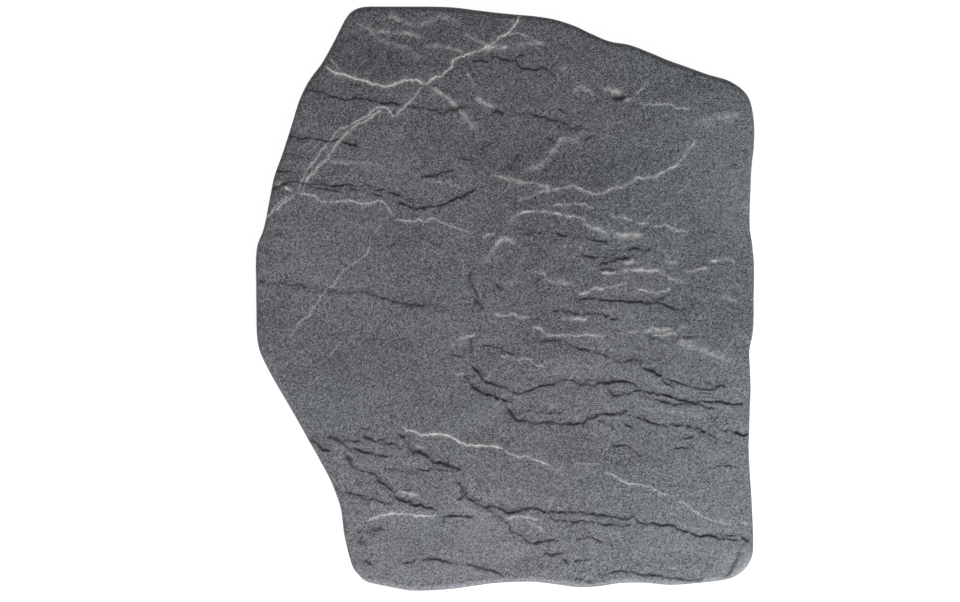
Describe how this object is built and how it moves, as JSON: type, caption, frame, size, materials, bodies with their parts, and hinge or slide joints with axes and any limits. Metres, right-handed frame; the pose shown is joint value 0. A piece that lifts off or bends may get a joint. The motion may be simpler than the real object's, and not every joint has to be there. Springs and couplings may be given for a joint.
{
  "type": "slate slab",
  "caption": "Flat riven dark grey slate slab with a softly wavy hand-dressed outline, rounded corners and thin pale mineral veins.",
  "frame": {"origin": "centre of the bounding box's bottom, on the flat underside", "axes": "+Z up out of the riven face, +Y along the slab's long side towards its narrower end with the slanting shoulder, +X to the right when the riven face is seen from above with +Y up"},
  "size_m": [0.384, 0.45, 0.0259],
  "materials": {
    "slate": "riven matt face, softened edges"
  },
  "bodies": {
    "root": {"stone_slab": "slate"}
  },
  "joints": []
}
